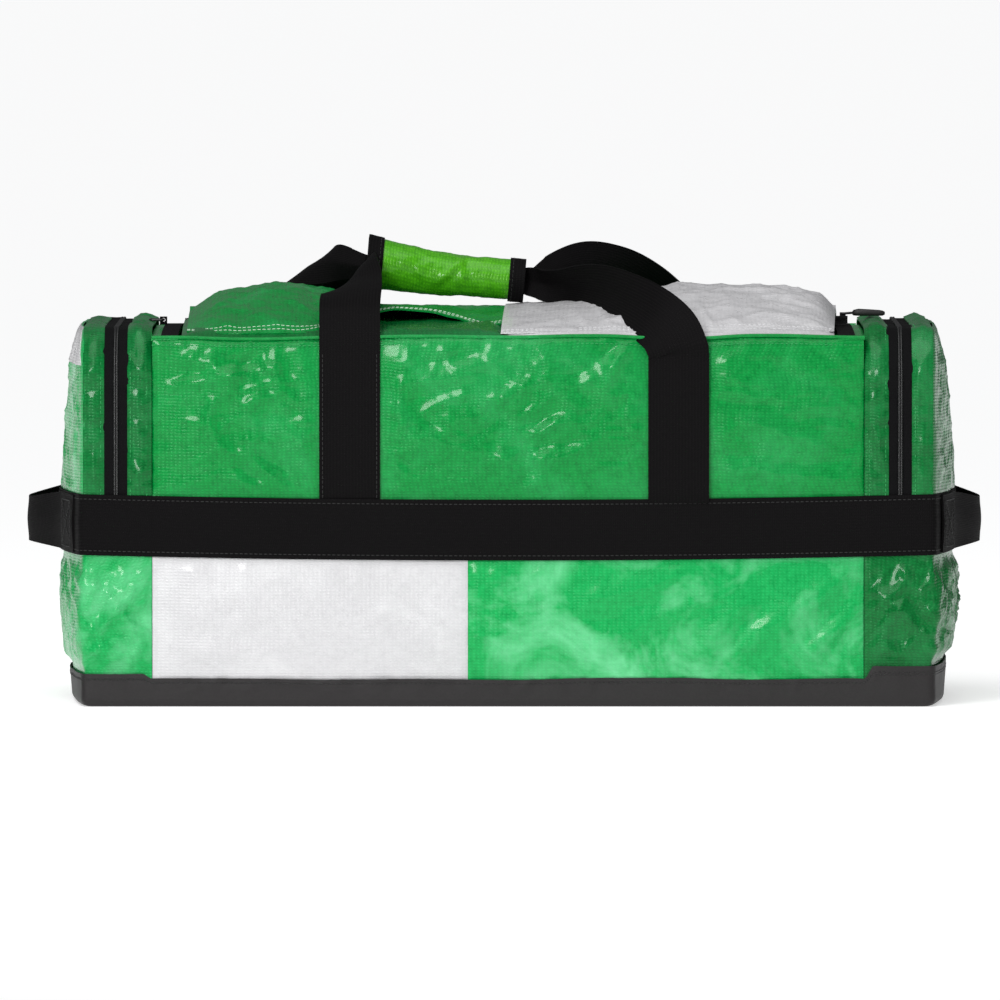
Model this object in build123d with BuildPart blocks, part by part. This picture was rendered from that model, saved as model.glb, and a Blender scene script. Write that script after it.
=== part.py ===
"""A soft holdall kit bag with end pockets, carrying handles and a lengthwise top zip.

Millimetres. +X runs along the bag to its right end, -Y is the front, +Z is up.
The origin is the centre of the base, on the floor.
"""
import os
from math import asin, degrees, radians, cos, sin, tan

from build123d import *

os.makedirs("parts", exist_ok=True)

# ---- driving dimensions ----
body_half_length = 292.5    # centre to the seam between body and end pocket
half_depth = 170.0          # centre to the outer face of the front panel
seam_height = 303.0         # top seams of the body
pocket_height = 308.0       # top of the end pockets
pocket_corner = 40.0        # rounding of the pocket outline, seen from the end
end_seam = 348.0            # seam between pocket gusset and end panel
end_bulge = 20.0            # how far the end panel bows out at the belt
foot_bulge = 11.0           # the same at the floor
skirt_height = 26.0         # coated base fabric turned up the walls
belt_low = 121.5            # lower edge of the webbing belt
belt_high = 171.5           # upper edge of the webbing belt
cloth = 2.0                 # thickness of a lined tarpaulin panel
webbing = 2.4               # thickness of the wide webbing
webbing_width = 50.0
grab_reach = 390.0          # inner face of the grab handle's loop, from the middle of the bag
grab_half = 150.0           # the grab handle is sewn down this far from the middle of the end
gap = 0.3                   # running gap between neighbours on different bodies

# zips
pocket_zip = 322.0          # centre of the pocket zip chain from the middle of the bag
tape_reach = 11.0           # chain centre to the tape's sewn edge
chain_slot = 0.8            # half the gap between the two chain edges
tape = 1.4                  # thickness of a zip tape
track_height = 313.0        # centre of the top zip chain
chain = 2.4                 # thickness of the top zip chain
top_half_length = 268.0     # half length of the two lid halves
slider_park = 276.0         # where the main slider rests, past the lid's end

# handles
left_leg = -130.0           # centre lines of the sewn handle legs
right_leg = 140.0
leg_top = 300.5
grip_centre = (-51.0, 0.0, 350.9)
grip_tilt = 4.84            # degrees, the right end lower
grip_half = 65.0
grip_radius = 18.0
grip_bore = 15.5
grip_mouth = 10.5           # half height of the slot that lets the rear strap out
bound_length = 13.0         # bound ends of the grip wrap
strap_offset = 4.4          # strap centre line from the grip's middle plane
strap_root = 172.3          # free straps leave the seam here, measured from the middle

SIDES = {"left": -1, "right": 1}


def save(block, name):
    """Label a finished piece and write its file."""
    block.part.label = name
    export_step(block.part, f"parts/{name}.step")


def plate(name, x, y, z):
    """A flat panel from its low and high edges on each axis."""
    with BuildPart() as panel:
        with BuildSketch(Plane.XY.offset(z[0])):
            with Locations(((x[0] + x[1]) / 2, (y[0] + y[1]) / 2)):
                Rectangle(x[1] - x[0], y[1] - y[0])
        extrude(amount=z[1] - z[0])
    save(panel, name)


def mirrored_plates(name, x, y, z):
    """A pair of flat panels, one at the front and one at the rear."""
    with BuildPart() as pair:
        for face in (-1, 1):
            with BuildSketch(Plane.XY.offset(z[0])):
                with Locations(((x[0] + x[1]) / 2, face * (y[0] + y[1]) / 2)):
                    Rectangle(abs(x[1] - x[0]), y[1] - y[0])
            extrude(amount=z[1] - z[0])
    save(pair, name)


def bowed_strip(side, chord, bow, half_width, thick, height):
    """Sketch a strip that bows out at the end of the bag, in a level plane."""
    inner = side * chord
    outer = side * (chord + thick)
    with BuildSketch(Plane.XY.offset(height)) as strip:
        with BuildLine():
            ThreePointArc((inner, -half_width), (inner + side * bow, 0), (inner, half_width))
            Line((inner, half_width), (outer, half_width))
            ThreePointArc((outer, half_width), (outer + side * bow, 0), (outer, -half_width))
            Line((outer, -half_width), (inner, -half_width))
        make_face()
    return strip.sketch


def bow_at(height):
    """How far the end panel bows out at a height below the belt's top edge."""
    return foot_bulge + (end_bulge - foot_bulge) * min(height / belt_high, 1)


def end_wall(name, side, low, high, chord=end_seam, half_width=half_depth, thick=cloth):
    """A bowed end wall between two heights."""
    levels = [bowed_strip(side, chord, bow_at(z), half_width, thick, z) for z in (low, high)]
    with BuildPart() as wall:
        loft(levels)
    save(wall, name)


def pocket_outline(x, inset, foot):
    """Sketch the end pocket's outline, seen from the end, from a foot height up."""
    reach = half_depth - inset
    top = pocket_height - inset
    with BuildSketch(Plane.YZ.offset(x)) as outline:
        with Locations((0, (top + foot) / 2)):
            Rectangle(2 * reach, top - foot)
        fillet(outline.vertices().group_by(Axis.Y)[-1], pocket_corner - inset)
    return outline.sketch


def pocket_arch(name, side, near, far, inset, thick, foot):
    """A strip of the pocket's gusset: up the front, over the top and down the rear."""
    start, end = sorted((side * near, side * far))
    with BuildPart() as arch:
        extrude(pocket_outline(start, inset, foot), amount=end - start, dir=(1, 0, 0))
        hollow = pocket_outline(start, inset + thick, foot - 1)
        extrude(hollow, amount=end - start, dir=(1, 0, 0), mode=Mode.SUBTRACT)
    save(arch, name)


def lid_height(y):
    """Top face of the lid halves: a shallow arch from seam to zip track."""
    rise = track_height + chain / 2 - seam_height - 1.7
    return seam_height + 1.7 + rise * (1 - (y / half_depth) ** 2)


def lid_strip(name, x, y_near, y_far, thick, lift=0.0):
    """A strip of the lid between two distances from the middle, following the arch."""
    middle = (y_near + y_far) / 2
    with BuildPart() as strip:
        with BuildSketch(Plane.YZ.offset(x[0])):
            with BuildLine():
                top = [(y, lid_height(y) + lift) for y in (y_near, middle, y_far)]
                low = [(y, z - thick) for y, z in top]
                ThreePointArc(*top)
                Line(top[2], low[2])
                ThreePointArc(*reversed(low))
                Line(low[0], top[0])
            make_face()
        extrude(amount=x[1] - x[0])
    save(strip, name)


def flap_shell(name, stations):
    """Part of the storm flap: a thin arch lofted through stations of (x, crown height)."""
    rear, crown_y, hem = 62.0, -10.0, -95.0
    with BuildPart() as shell:
        for x, crown in stations:
            with BuildSketch(Plane.YZ.offset(x)):
                with BuildLine():
                    top = [(rear, 317.0), (crown_y, crown), (hem, 314.5)]
                    low = [(y, z - cloth) for y, z in top]
                    ThreePointArc(*top)
                    Line(top[2], low[2])
                    ThreePointArc(*reversed(low))
                    Line(low[0], top[0])
                make_face()
        loft(ruled=True)
    save(shell, name)


def ribbon(name, stations):
    """Free webbing through stations of (centre, direction of run, direction of width, width)."""
    with BuildPart() as band:
        for centre, run, across, width in stations:
            with BuildSketch(Plane(origin=centre, x_dir=across, z_dir=run)):
                Rectangle(width, webbing)
        loft(ruled=True)
    save(band, name)


# ---- base and skirt ----
with BuildPart() as base_panel:
    with BuildSketch():
        with BuildLine():
            ThreePointArc((end_seam, -half_depth), (end_seam + foot_bulge, 0), (end_seam, half_depth))
            Line((end_seam, half_depth), (-end_seam, half_depth))
            ThreePointArc((-end_seam, half_depth), (-end_seam - foot_bulge, 0), (-end_seam, -half_depth))
            Line((-end_seam, -half_depth), (end_seam, -half_depth))
        make_face()
    extrude(amount=cloth)
save(base_panel, "base_panel")

front = (-half_depth, cloth - half_depth)
rear = (half_depth - cloth, half_depth)
divider_far = body_half_length - 2.5
divider_near = divider_far - cloth

plate("base_board", (1 - divider_near, divider_near - 1), (5 - half_depth, half_depth - 5), (2.3, 5.3))
plate("skirt_front", (-end_seam, end_seam), front, (cloth, skirt_height))
plate("skirt_rear", (-end_seam, end_seam), rear, (cloth, skirt_height))

# ---- body panels ----
panel_split = (belt_low + belt_high) / 2
panel_top = seam_height - 2.0
white_end = -33.0
full = (-body_half_length, body_half_length)
plate("front_upper_panel", full, front, (panel_split, panel_top))
plate("rear_upper_panel", full, rear, (panel_split, panel_top))
plate("front_lower_white", (-body_half_length, white_end), front, (skirt_height, panel_split))
plate("front_lower_green", (white_end, body_half_length), front, (skirt_height, panel_split))
plate("rear_lower_panel", full, rear, (skirt_height, panel_split))

# ---- webbing sewn to the body ----
belt_skin = (half_depth, half_depth + webbing)
belt_reach = end_seam + cloth
plate("belt_front", (-belt_reach, belt_reach), (-belt_skin[1], -belt_skin[0]), (belt_low, belt_high))
plate("belt_rear", (-belt_reach, belt_reach), belt_skin, (belt_low, belt_high))

for place, face in {"front": -1, "rear": 1}.items():
    with BuildPart() as legs:
        for leg in (left_leg, right_leg):
            with BuildSketch(Plane.XY.offset(belt_high)):
                with Locations((leg, face * (half_depth + webbing / 2))):
                    Rectangle(webbing_width, webbing)
            extrude(amount=leg_top - belt_high)
    save(legs, f"{place}_handle_legs")

# ---- end pockets, fixed parts ----
inner_tape = (pocket_zip - tape_reach, pocket_zip - chain_slot)
outer_tape = (pocket_zip + chain_slot, pocket_zip + tape_reach)
flap_foot = belt_high + 1.5

for hand, side in SIDES.items():
    divider_x = sorted((side * divider_near, side * divider_far))
    plate(f"{hand}_divider", divider_x, (gap + cloth - half_depth, half_depth - cloth - gap), (cloth, 300.0))
    end_wall(f"{hand}_skirt", side, cloth, skirt_height)
    end_wall(f"{hand}_end_lower", side, skirt_height, belt_high - 0.5)
    gusset_x = (side * body_half_length, side * end_seam)
    mirrored_plates(f"{hand}_gusset_lower", gusset_x, rear, (skirt_height, belt_high - 0.5))
    pocket_arch(f"{hand}_gusset_inner", side, body_half_length, inner_tape[0], 0, cloth, belt_high - 0.5)
    pocket_arch(f"{hand}_zip_inner", side, *inner_tape, gap, tape, belt_high - 0.5)

    # belt across the end, and the grab handle sewn over it
    belt_half = half_depth + webbing
    edges = [bowed_strip(side, belt_reach, end_bulge, belt_half, webbing, z) for z in (belt_low, belt_high)]
    with BuildPart() as end_belt:
        loft(edges)
    save(end_belt, f"belt_{hand}")

    grab_root = gap + belt_reach + webbing + end_bulge * (1 - (grab_half / (half_depth + webbing)) ** 2)
    grab_bow = grab_reach - grab_root
    edges = [bowed_strip(side, grab_root, grab_bow, grab_half, webbing, z) for z in (belt_low, belt_high)]
    with BuildPart() as grab:
        loft(edges)
    save(grab, f"{hand}_grab_handle")

# ---- end pockets, opening flaps ----
trim = 1.0                  # the bowed sheet is cut to the pocket's outline by this much all round
for hand, side in SIDES.items():
    pocket_arch(f"{hand}_flap_gusset", side, outer_tape[1], end_seam, 0, cloth, flap_foot)
    pocket_arch(f"{hand}_flap_zip", side, *outer_tape, gap, tape, flap_foot)
    foot_edge = bowed_strip(side, end_seam, end_bulge - 0.5, half_depth + trim, cloth, flap_foot - trim)
    top_edge = bowed_strip(side, end_seam, 0.5, half_depth + trim, cloth, pocket_height + trim)
    with BuildPart() as flap:
        loft([foot_edge, top_edge])
        extrude(pocket_outline(0, 0, flap_foot), amount=2 * end_seam, dir=(side, 0, 0), mode=Mode.INTERSECT)
    save(flap, f"{hand}_flap_panel")

# ---- pocket zip sliders and pulls, on the rear run ----
slider_park_z = 187.0
for hand, side in SIDES.items():
    skin = half_depth - gap
    layers = (
        (9.0, skin - tape - 1.9, skin - tape - 0.4),
        (0.8, skin - tape - 1.9, skin + 1.8),
        (9.0, skin + 0.4, skin + 1.8),
        (3.0, skin + 1.8, skin + 4.8),
    )
    with BuildPart() as slider:
        with BuildSketch(Plane.XY.offset(slider_park_z - 6)):
            for width, near, far in layers:
                with Locations((side * pocket_zip, (near + far) / 2)):
                    Rectangle(width, far - near)
        extrude(amount=12)
    save(slider, f"{hand}_pocket_slider")

    pull_skin = half_depth + webbing + 2 * gap
    with BuildPart() as pull:
        with BuildSketch(Plane.XZ.offset(-pull_skin)):
            with Locations((side * pocket_zip, slider_park_z - 16)):
                SlotOverall(40, 9, rotation=90)
            with Locations((side * pocket_zip, slider_park_z - 0.5)):
                Rectangle(3.8, 13, mode=Mode.SUBTRACT)
        extrude(amount=-1.8)
    save(pull, f"{hand}_pocket_pull")

# ---- fixed ends of the top ----
for hand, side in SIDES.items():
    green = sorted((side * (top_half_length + 3), side * body_half_length))
    black = sorted((side * (top_half_length + 3), side * (top_half_length + 17)))
    for piece, x, base, thick in (("top_end", green, 0.0, cloth), ("cross_tape", black, 1.8, 1.8)):
        with BuildPart() as strip:
            with BuildSketch(Plane.YZ.offset(x[0])):
                with BuildLine():
                    top = [(y, z + base) for y, z in ((-half_depth, 303.0), (0, 307.0), (half_depth, 303.0))]
                    low = [(y, z - thick) for y, z in top]
                    ThreePointArc(*top)
                    Line(top[2], low[2])
                    ThreePointArc(*reversed(low))
                    Line(low[0], top[0])
                make_face()
            extrude(amount=x[1] - x[0])
        save(strip, f"{hand}_{piece}")

# ---- lid halves, zip tapes and storm flap ----
lid_hinge_y = half_depth - cloth / 2
tape_far = 14.0
lid_cloth = 2.4
lid_split = -2.5
lid_strip("lid_front_green", (-top_half_length, lid_split), -lid_hinge_y, -tape_far, lid_cloth)
lid_strip("lid_front_white", (lid_split, top_half_length), -lid_hinge_y, -tape_far, lid_cloth)
lid_strip("lid_rear_panel", (-top_half_length, top_half_length), tape_far, lid_hinge_y, lid_cloth)
lid_strip("lid_zip_front", (-top_half_length, top_half_length), -tape_far, -chain_slot, chain)
lid_strip("lid_zip_rear", (-top_half_length, top_half_length), chain_slot, tape_far, chain)
flap_shell("storm_flap_green", [(-258, 328), (-190, 344), (-105, 325.2), (lid_split, 325.2)])
flap_shell("storm_flap_white", [(lid_split, 325.2), (30, 325.2), (140, 342), (262, 334)])

# ---- main slider and pull ----
with BuildPart() as main_slider:
    with BuildSketch(Plane.YZ.offset(slider_park - 6)):
        for width, low, high in ((9.0, -3.2, -1.6), (0.8, -3.2, 3.2), (9.0, 1.6, 3.2)):
            with Locations((0, track_height + (low + high) / 2)):
                Rectangle(width, high - low)
    extrude(amount=12)
    with BuildSketch(Plane.XZ.offset(-1.5)):
        with Locations((slider_park + 2, track_height + 4.7)):
            Rectangle(5, 3)
    extrude(amount=3)
save(main_slider, "main_slider")

pull_pivot = (slider_park + 2.0, 0.0, track_height + 5.2)
with BuildPart() as main_pull:
    with BuildSketch(Plane.XY.offset(pull_pivot[2] - 1.4)):
        with Locations((slider_park + 7.5, 0)):
            Rectangle(13, 7.6)
        with Locations((slider_park + 4.5, 0)):
            Rectangle(8, 3.8, mode=Mode.SUBTRACT)
    extrude(amount=2.4)
    for x, width, thick in ((slider_park + 14, 7.6, 3.6), (slider_park + 37, 4.6, 2.8)):
        with BuildSketch(Plane.YZ.offset(x)):
            with Locations((0, pull_pivot[2] - 0.2)):
                RectangleRounded(width, thick, 1.2)
    loft()
save(main_pull, "main_pull")

# ---- ring at the left end of the top zip ----
ring_pivot = (-286.0, 0.0, 313.0)
tab_half = 3.0
with BuildPart() as ring_tab:
    with BuildSketch(Plane.XZ.offset(-4.5)):
        with BuildLine():
            near, far = ring_pivot[0] + tab_half, ring_pivot[0] - tab_half
            Polyline((far, 309.0), (near, 309.0), (near, 315.6), (far, 315.6), close=True)
        make_face()
        with Locations((ring_pivot[0], ring_pivot[2])):
            Circle(1.6, mode=Mode.SUBTRACT)
    extrude(amount=9)
save(ring_tab, "ring_tab")

ring_wire = 1.1
ring_half_width = 7.0
ring_reach = 11.0
with BuildPart() as end_ring:
    with BuildLine() as loop:
        FilletPolyline(
            (ring_pivot[0], -ring_half_width, ring_pivot[2]),
            (ring_pivot[0] - ring_reach, -ring_half_width, ring_pivot[2]),
            (ring_pivot[0] - ring_reach, ring_half_width, ring_pivot[2]),
            (ring_pivot[0], ring_half_width, ring_pivot[2]),
            close=True,
            radius=2.5,
        )
    with BuildSketch(Plane(origin=loop.line @ 0, z_dir=loop.line % 0)):
        Circle(ring_wire)
    sweep()
save(end_ring, "end_ring")

# ---- handles ----
tilt = radians(grip_tilt)
grip_run = (cos(tilt), 0, -sin(tilt))


def grip_point(x, y):
    """A point beside the grip's axis at a place along the bag."""
    return (x, y, grip_centre[2] - (x - grip_centre[0]) * tan(tilt))


level = (1, 0, 0)
ribbon(
    "front_handle_strap",
    [
        ((left_leg, -strap_root, 304.4), (0, 0.45, 0.89), level, webbing_width),
        ((left_leg, -164, 317), (0, 0.7, 0.7), level, webbing_width),
        ((left_leg, -128, 336), (0, 0.9, 0.4), level, webbing_width),
        ((-130, -80, 347), (0.1, 0.95, 0.2), (1, 0, 0.15), 46),
        ((-128, -38, 352), (0.25, 0.95, 0.1), (0.6, 0, 0.8), 32),
        (grip_point(-119, -strap_offset - 4), (0.9, 0.4, 0), (0, 0, 1), 22),
        (grip_point(-108, -strap_offset), grip_run, (0, 0, 1), 22),
        (grip_point(8, -strap_offset), grip_run, (0, 0, 1), 22),
        (grip_point(22, -strap_offset - 3), (0.95, -0.3, 0), (0, 0, 1), 22),
        ((52, -22, 349), (0.85, -0.5, 0.05), (0, -0.2, 0.98), 24),
        ((92, -58, 350), (0.7, -0.7, -0.05), (0.45, 0.1, 0.88), 30),
        ((126, -102, 344), (0.4, -0.9, -0.2), (0.85, 0.1, 0.5), 42),
        ((right_leg, -138, 331), (0.1, -0.87, -0.5), level, webbing_width),
        ((right_leg, -164, 317), (0, -0.7, -0.7), level, webbing_width),
        ((right_leg, -strap_root, 304.4), (0, -0.45, -0.89), level, webbing_width),
    ],
)
ribbon(
    "rear_handle_strap",
    [
        ((left_leg, strap_root, 304.4), (0, -0.45, 0.89), level, webbing_width),
        ((left_leg - 2, 164, 317), (0, -0.7, 0.7), level, webbing_width),
        ((left_leg - 8, 135, 334), (0, -0.87, 0.5), level, webbing_width),
        ((left_leg - 18, 82, 352), (0, -0.95, 0.2), (0.9, 0, 0.4), 46),
        ((-143, 38, 358), (0.3, -0.9, 0.1), (0.45, 0, 0.9), 32),
        (grip_point(-119, strap_offset + 4), (0.9, -0.4, 0), (0, 0, 1), 16),
        (grip_point(-108, strap_offset), grip_run, (0, 0, 1), 16),
        (grip_point(8, strap_offset), grip_run, (0, 0, 1), 16),
        (grip_point(22, strap_offset + 3), (0.95, 0.3, 0), (0, 0, 1), 18),
        ((48, 24, 354), (0.8, 0.6, 0.15), (0, 0.2, 0.98), 28),
        ((80, 58, 359), (0.7, 0.7, 0), (0.4, 0.1, 0.9), 34),
        ((112, 100, 348), (0.5, 0.85, -0.2), (0.85, 0, 0.5), 44),
        ((right_leg - 3, 138, 332), (0.1, 0.87, -0.5), level, webbing_width),
        ((right_leg, 164, 317), (0, 0.7, -0.7), level, webbing_width),
        ((right_leg, strap_root, 304.4), (0, 0.45, -0.89), level, webbing_width),
    ],
)

mouth_angle = degrees(asin(grip_mouth / grip_bore))


def grip_section(start, outer):
    """Sketch the grip's C-shaped section, open towards the rear, at a distance along it."""
    origin = Vector(*grip_centre) + Vector(*grip_run) * start
    reach = 2 * outer
    edge = reach * tan(radians(mouth_angle))
    with BuildSketch(Plane(origin=origin, x_dir=(0, 1, 0), z_dir=grip_run)) as section:
        Circle(outer)
        Circle(grip_bore, mode=Mode.SUBTRACT)
        with BuildLine():
            Polyline((0, 0), (reach, -edge), (reach, edge), close=True)
        make_face(mode=Mode.SUBTRACT)
    return section.sketch


wrap_half = grip_half - bound_length
with BuildPart() as grip_wrap:
    extrude(grip_section(-wrap_half, grip_radius), amount=2 * wrap_half, dir=grip_run)
save(grip_wrap, "grip_wrap")

with BuildPart() as grip_bindings:
    for start in (-grip_half, wrap_half):
        extrude(grip_section(start, grip_radius + 1.0), amount=bound_length, dir=grip_run)
save(grip_bindings, "grip_bindings")
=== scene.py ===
import math

import bpy
import numpy as np
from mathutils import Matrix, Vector


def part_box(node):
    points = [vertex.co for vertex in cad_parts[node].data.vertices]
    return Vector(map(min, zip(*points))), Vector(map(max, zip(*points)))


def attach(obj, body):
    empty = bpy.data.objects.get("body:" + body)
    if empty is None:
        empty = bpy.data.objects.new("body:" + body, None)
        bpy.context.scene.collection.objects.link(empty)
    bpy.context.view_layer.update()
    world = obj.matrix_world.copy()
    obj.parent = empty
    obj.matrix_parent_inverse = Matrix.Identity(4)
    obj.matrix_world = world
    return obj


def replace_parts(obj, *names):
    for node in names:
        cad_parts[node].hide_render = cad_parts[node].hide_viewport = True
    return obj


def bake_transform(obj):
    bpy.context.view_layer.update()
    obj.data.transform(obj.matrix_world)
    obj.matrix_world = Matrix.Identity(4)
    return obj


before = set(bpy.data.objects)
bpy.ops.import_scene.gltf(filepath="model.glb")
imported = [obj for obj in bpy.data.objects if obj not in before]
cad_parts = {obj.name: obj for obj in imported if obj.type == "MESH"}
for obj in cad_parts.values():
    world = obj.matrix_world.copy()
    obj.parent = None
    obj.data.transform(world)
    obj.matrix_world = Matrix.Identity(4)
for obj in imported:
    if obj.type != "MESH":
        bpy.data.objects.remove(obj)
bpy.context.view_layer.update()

mm = 0.001
hands = {"left": -1, "right": 1}


# edges of a CAD node, in millimetres
def edges(node):
    low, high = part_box(node)
    return np.array(low) / mm, np.array(high) / mm


# the seams and levels that every soft piece is hung from, all read from the frame
beltLow, beltHigh = (edges("belt_front")[k][2] for k in (0, 1))
bodyHalf = edges("rear_upper_panel")[1][0]
wallDepth = edges("rear_upper_panel")[1][1]
seamTop = edges("front_upper_panel")[1][2]
skirtTop = edges("skirt_front")[1][2]
whiteEnd = edges("front_lower_white")[1][0]
endSeam = edges("right_gusset_lower")[1][0]
endReach = edges("right_end_lower")[1][0]
tapeNear, tapeFar = edges("right_zip_inner")[0][0], edges("right_flap_zip")[1][0]
coilNear, coilFar = edges("right_zip_inner")[1][0], edges("right_flap_zip")[0][0]
pocketTop = edges("right_flap_gusset")[1][2]
flapFoot = edges("right_flap_panel")[0][2]
lidHalf = edges("lid_front_white")[1][0]
lidSplit = edges("lid_front_white")[0][0]
lidHinge = -edges("lid_front_white")[0][1]
trackTop = edges("lid_zip_front")[1][2]
lidLow = seamTop + 3.7


def hexColour(text, alpha=1.0):
    parts = [int(text[i:i + 2], 16) / 255 for i in (1, 3, 5)]
    return tuple(c / 12.92 if c <= 0.04045 else ((c + 0.055) / 1.055) ** 2.4 for c in parts) + (alpha,)


# one shader node with its settings and its inputs: a socket is linked, anything else is a value
def addNode(tree, kind, settings=None, inputs=None):
    node = tree.nodes.new(kind)
    for key, value in (settings or {}).items():
        setattr(node, key, value)
    for key, value in (inputs or {}).items():
        if isinstance(value, bpy.types.NodeSocket):
            tree.links.new(value, node.inputs[key])
        else:
            node.inputs[key].default_value = value
    return node


def startMaterial(name, **values):
    material = bpy.data.materials.new(name)
    material.use_nodes = True
    shader = material.node_tree.nodes["Principled BSDF"]
    for key, value in values.items():
        shader.inputs[key].default_value = value
    return material, material.node_tree, shader


# surface relief from a height, its depth in millimetres
def addRelief(tree, shader, height, depth):
    bump = addNode(tree, "ShaderNodeBump", None, {
        "Height": height, "Distance": depth * mm, "Strength": 1.0})
    tree.links.new(bump.outputs[0], shader.inputs["Normal"])


# colour between two hex values, driven by a factor
def addTint(tree, shader, factor, dark, light):
    colour = addNode(tree, "ShaderNodeMix", {"data_type": "RGBA"}, {
        "Factor": factor, 6: hexColour(dark), 7: hexColour(light)})
    tree.links.new(colour.outputs[2], shader.inputs["Base Color"])


# scale of a wave texture for bands of this pitch in millimetres
def waveScale(pitch):
    return math.tau / (20 * pitch * mm)


tarpLook = {
    "ribPitch": 2.6,          # woven scrim under the coating, along and across
    "crossPitch": 3.6,
    "ribDepth": 0.15,         # mm
    "roughness": 0.30,
    "coat": 0.22,
    "mottle": 5.0,            # mm, pressed-on speckle of the laminate
    "hazeAndSheen": 70.0,             # mm, pale patches, partly the film's milky haze and partly painted sheen
}


# PVC laminated over an open woven scrim, calendered smooth: the raised grid breaks highlights
# into small bright cells, and broad pale patches in the colour stand partly for the film's haze and partly
# for painted sheen
def makeTarpaulin(name, dark, light, milkyHazeAndSheen, hazeAndSheenAmount=0.3, glint="#8fe0ab", look=tarpLook):
    material, tree, shader = startMaterial(
        name, **{"Coat Weight": look["coat"], "Coat Roughness": 0.13, "Specular IOR Level": 0.3,
                 "Specular Tint": hexColour(glint)})
    flat = addNode(tree, "ShaderNodeUVMap", {"uv_map": "cloth"}).outputs[0]
    place = addNode(tree, "ShaderNodeTexCoord").outputs["Object"]
    ribs = addNode(tree, "ShaderNodeTexWave", {"bands_direction": "Y"}, {
        "Vector": flat, "Scale": waveScale(look["ribPitch"]), "Distortion": 1.6, "Detail": 2.0,
        "Detail Scale": 1.5})
    cross = addNode(tree, "ShaderNodeTexWave", {"bands_direction": "X"}, {
        "Vector": flat, "Scale": waveScale(look["crossPitch"]), "Distortion": 0.8, "Detail": 1.0})
    speckle = addNode(tree, "ShaderNodeTexNoise", None, {
        "Vector": place, "Scale": 1 / (look["mottle"] * mm), "Detail": 3.0, "Roughness": 0.6})
    hazeAndSheen = addNode(tree, "ShaderNodeTexNoise", None, {
        "Vector": place, "Scale": 1 / (look["hazeAndSheen"]
                                       * mm), "Detail": 4.0, "Roughness": 0.62, "Distortion": 0.6})
    grid = addNode(tree, "ShaderNodeMath", {"operation": "MULTIPLY"}, {
        0: ribs.outputs["Fac"], 1: cross.outputs["Fac"]})
    tone = addNode(tree, "ShaderNodeMath", {"operation": "MULTIPLY_ADD"}, {
        0: speckle.outputs["Fac"], 1: 0.9, 2: -0.12})
    shade = addNode(tree, "ShaderNodeMath", {"operation": "MULTIPLY_ADD"}, {
        0: grid.outputs[0], 1: 0.35, 2: tone.outputs[0]})
    base = addNode(tree, "ShaderNodeMix", {"data_type": "RGBA", "clamp_factor": True}, {
        "Factor": shade.outputs[0], 6: hexColour(dark), 7: hexColour(light)})
    # pale patches: partly the film's milky haze, partly painted sheen
    patch = addNode(tree, "ShaderNodeMapRange", {"clamp": True}, {
        "Value": hazeAndSheen.outputs["Fac"], "From Min": 0.46, "From Max": 0.72, "To Min": 0.0, "To Max": hazeAndSheenAmount})
    colour = addNode(tree, "ShaderNodeMix", {"data_type": "RGBA"}, {
        "Factor": patch.outputs[0], 6: base.outputs[2], 7: hexColour(milkyHazeAndSheen)})
    tree.links.new(colour.outputs[2], shader.inputs["Base Color"])
    gloss = addNode(tree, "ShaderNodeMapRange", None, {
        "Value": speckle.outputs["Fac"], "From Min": 0.3, "From Max": 0.7,
        "To Min": look["roughness"] - 0.06, "To Max": look["roughness"] + 0.09})
    tree.links.new(gloss.outputs[0], shader.inputs["Roughness"])
    weft = addNode(tree, "ShaderNodeMath", {"operation": "MULTIPLY_ADD"}, {
        0: ribs.outputs["Fac"], 1: 0.5, 2: grid.outputs[0]})
    height = addNode(tree, "ShaderNodeMath", {"operation": "MULTIPLY_ADD"}, {
        0: speckle.outputs["Fac"], 1: 0.9, 2: weft.outputs[0]})
    addRelief(tree, shader, height.outputs[0], look["ribDepth"])
    return material


# woven tape: weft ribs across, warp lines along, a soft lustre on the yarn
def makeWoven(name, dark, light, ribPitch, warpPitch, depth, roughness, sheen):
    material, tree, shader = startMaterial(
        name, **{"Roughness": roughness, "Sheen Weight": sheen, "Specular IOR Level": 0.1})
    flat = addNode(tree, "ShaderNodeUVMap", {"uv_map": "cloth"}).outputs[0]
    rib = addNode(tree, "ShaderNodeTexWave", {"bands_direction": "X"}, {
        "Vector": flat, "Scale": waveScale(ribPitch), "Distortion": 0.5, "Detail": 1.0})
    warp = addNode(tree, "ShaderNodeTexWave", {"bands_direction": "Y"}, {
        "Vector": flat, "Scale": waveScale(warpPitch), "Distortion": 0.3})
    weave = addNode(tree, "ShaderNodeMath", {"operation": "MULTIPLY"}, {
        0: rib.outputs["Fac"], 1: warp.outputs["Fac"]})
    addTint(tree, shader, weave.outputs[0], dark, light)
    addRelief(tree, shader, weave.outputs[0], depth)
    return material


# a moulded, painted or spun surface with a fine grain of a real size
def makeGrained(name, dark, light, grain, depth, **values):
    material, tree, shader = startMaterial(name, **values)
    place = addNode(tree, "ShaderNodeTexCoord").outputs["Object"]
    noise = addNode(tree, "ShaderNodeTexNoise", None, {
        "Vector": place, "Scale": 1 / (grain * mm), "Detail": 3.0, "Roughness": 0.6})
    addTint(tree, shader, noise.outputs["Fac"], dark, light)
    addRelief(tree, shader, noise.outputs["Fac"], depth)
    return material


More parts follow.
